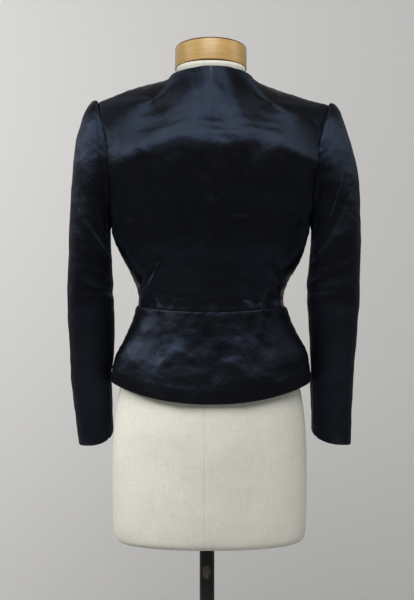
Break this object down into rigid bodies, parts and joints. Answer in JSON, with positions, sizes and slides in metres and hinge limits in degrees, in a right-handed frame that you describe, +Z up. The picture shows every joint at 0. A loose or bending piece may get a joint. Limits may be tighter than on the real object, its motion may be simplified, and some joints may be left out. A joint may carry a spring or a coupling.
{
  "type": "silk jacket on a dress form",
  "caption": "Fitted dark navy silk satin jacket with a flared peplum and long two-piece sleeves, on a limbless dress form and stand.",
  "frame": {"origin": "centre of the stand base's flat underside", "axes": "+Z up along the pole to the neck, -Y the way the wearer faces, +X the wearer's left"},
  "size_m": [0.4971, 0.39, 1.4575],
  "materials": {
    "navy_silk_satin": "satin",
    "cream_linen": "matte",
    "varnished_maple": "gloss",
    "black_enamel": "satin",
    "black_cast_iron": "matte"
  },
  "bodies": {
    "root": {"back_left": "navy_silk_satin", "back_right": "navy_silk_satin", "front_left": "navy_silk_satin", "front_right": "navy_silk_satin", "peplum_back": "navy_silk_satin", "peplum_front_left": "navy_silk_satin", "peplum_front_right": "navy_silk_satin", "sleeve_upper_left": "navy_silk_satin", "sleeve_upper_right": "navy_silk_satin", "sleeve_under_left": "navy_silk_satin", "sleeve_under_right": "navy_silk_satin", "button_1": "navy_silk_satin", "button_2": "navy_silk_satin", "button_3": "navy_silk_satin", "button_4": "navy_silk_satin", "button_5": "navy_silk_satin", "form_torso": "cream_linen", "neck_block": "varnished_maple", "stand_pole": "black_enamel", "stand_base": "black_cast_iron"}
  },
  "joints": []
}
